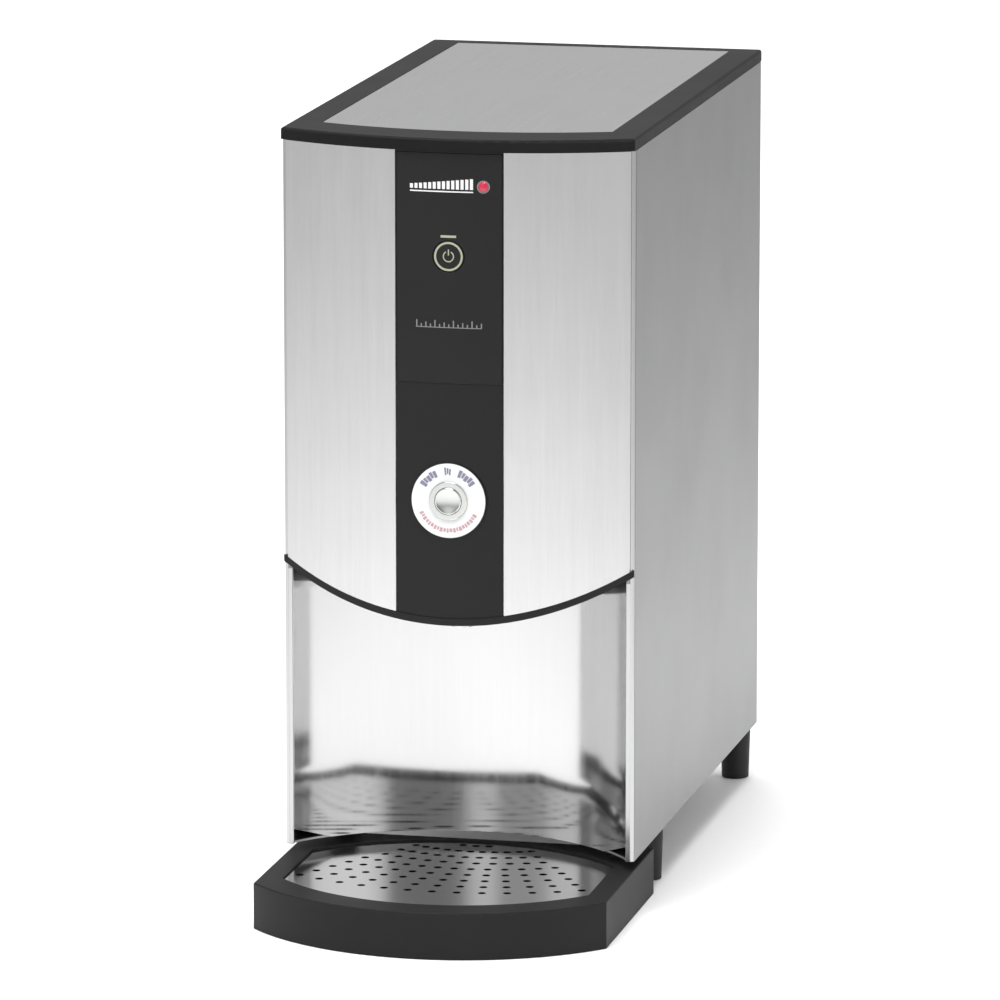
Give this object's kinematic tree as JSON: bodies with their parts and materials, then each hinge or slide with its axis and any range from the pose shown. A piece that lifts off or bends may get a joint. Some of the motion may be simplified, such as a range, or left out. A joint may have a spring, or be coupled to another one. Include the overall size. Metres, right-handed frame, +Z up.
{
  "type": "countertop water dispenser",
  "caption": "Countertop hot water dispenser: tall narrow steel casing with a bowed front over a recessed tap bay, push button, removable drip tray with perforated plate.",
  "frame": {"origin": "centre of the bounding box's footprint in X and Y, at the countertop under the feet and tray", "axes": "+Z up; -Y towards the user, where the tray and tap bay are; +X to the user's right"},
  "size_m": [0.211, 0.518, 0.463],
  "materials": {
    "side_steel": "satin, grain upright",
    "rear_steel": "satin",
    "front_steel": "satin, grain upright",
    "inlay_steel": "satin",
    "splash_steel": "polished, nearly a mirror",
    "grille_steel": "polished",
    "button_steel": "polished",
    "nozzle_steel": "satin",
    "pan_steel": "plain sheet",
    "screw_steel": "plain",
    "spring_steel": "plain",
    "tank_steel": "plain sheet",
    "lid_plastic": "fine texture",
    "moulding_plastic": "satin",
    "fascia_plastic": "satin film",
    "key_plastic": "satin film",
    "tray_plastic": "fine texture",
    "label_plastic": "printed label",
    "inner_plastic": "moulded",
    "lead_plastic": "sheathed",
    "circuit_board": "coated board",
    "jacket_foam": "foam sheet",
    "foot_rubber": "matt",
    "seal_rubber": "matt",
    "hose_rubber": "translucent silicone",
    "fitting_brass": "machined"
  },
  "bodies": {
    "casing": {"base_pan": "pan_steel", "board_standoffs": "fitting_brass", "bulkhead_nuts": "fitting_brass", "button_barrel": "button_steel", "button_label_ring": "label_plastic", "button_spring": "spring_steel", "button_switch": "inner_plastic", "cable_gland": "inner_plastic", "control_board": "circuit_board", "control_fascia": "fascia_plastic", "dispense_hose": "hose_rubber", "dispense_valve_body": "fitting_brass", "dispense_valve_coil": "inner_plastic", "dispense_valve_spring": "spring_steel", "display_board": "circuit_board", "display_lead": "lead_plastic", "drain_hose": "hose_rubber", "drain_plug": "inner_plastic", "earth_stud": "fitting_brass", "feet": "foot_rubber", "fill_hose": "hose_rubber", "foot_nuts": "screw_steel", "front_moulding": "moulding_plastic", "front_steel_left": "front_steel", "front_steel_right": "front_steel", "heater_lead": "lead_plastic", "heater_relay": "inner_plastic", "heating_element": "tank_steel", "hose_clips": "spring_steel", "inlet_fitting": "fitting_brass", "inlet_valve_body": "fitting_brass", "inlet_valve_coil": "inner_plastic", "inlet_valve_spring": "spring_steel", "level_probes": "tank_steel", "nozzle": "nozzle_steel", "outlet_hose": "hose_rubber", "overflow_fitting": "inner_plastic", "overheat_cutout": "inner_plastic", "panel_screws": "screw_steel", "rear_panel": "rear_steel", "side_panel_left": "side_steel", "side_panel_right": "side_steel", "splash_panel": "splash_steel", "tank_cover": "tank_steel", "tank_gasket": "seal_rubber", "tank_jacket": "jacket_foam", "tank_shelf": "pan_steel", "tank_shell": "tank_steel", "temperature_sensor": "tank_steel", "terminal_block": "inner_plastic", "underside_cover": "moulding_plastic", "vent_hose": "hose_rubber"},
    "lid": {"lid_frame": "lid_plastic", "lid_inlay_plate": "inlay_steel"},
    "drip_tray": {"drip_tray": "tray_plastic"},
    "grille": {"drip_tray_grille": "grille_steel"},
    "dispense_button": {"button_plunger": "button_steel"},
    "power_key": {"power_key": "key_plastic"},
    "dispense_plunger": {"dispense_valve_plunger": "spring_steel"},
    "inlet_plunger": {"inlet_valve_plunger": "spring_steel"}
  },
  "joints": [
    {"name": "tray_slide", "type": "slide", "parent": "casing", "child": "drip_tray", "axis": [0, -1, 0], "range_m": [0, 0.15]},
    {"name": "grille_lift", "type": "slide", "parent": "drip_tray", "child": "grille", "axis": [0, 0, 1], "range_m": [0, 0.05]},
    {"name": "lid_lift", "type": "slide", "parent": "casing", "child": "lid", "axis": [0, 0, 1], "range_m": [0, 0.08]},
    {"name": "button_press", "type": "slide", "parent": "casing", "child": "dispense_button", "axis": [0, 1, 0], "range_m": [0, 0.0025], "stiffness_N_per_m": 400, "springref_m": -0.002, "deforming": ["button_spring"]},
    {"name": "power_key_press", "type": "slide", "parent": "casing", "child": "power_key", "axis": [0, 1, 0], "range_m": [0, 0.0006], "stiffness_N_per_m": 2000, "springref_m": -0.0004},
    {"name": "dispense_valve_lift", "type": "slide", "parent": "casing", "child": "dispense_plunger", "axis": [0, 0, 1], "range_m": [0, 0.0025], "stiffness_N_per_m": 300, "springref_m": -0.003, "deforming": ["dispense_valve_spring"]},
    {"name": "inlet_valve_lift", "type": "slide", "parent": "casing", "child": "inlet_plunger", "axis": [0, 0, 1], "range_m": [0, 0.0025], "stiffness_N_per_m": 300, "springref_m": -0.003, "deforming": ["inlet_valve_spring"]}
  ]
}
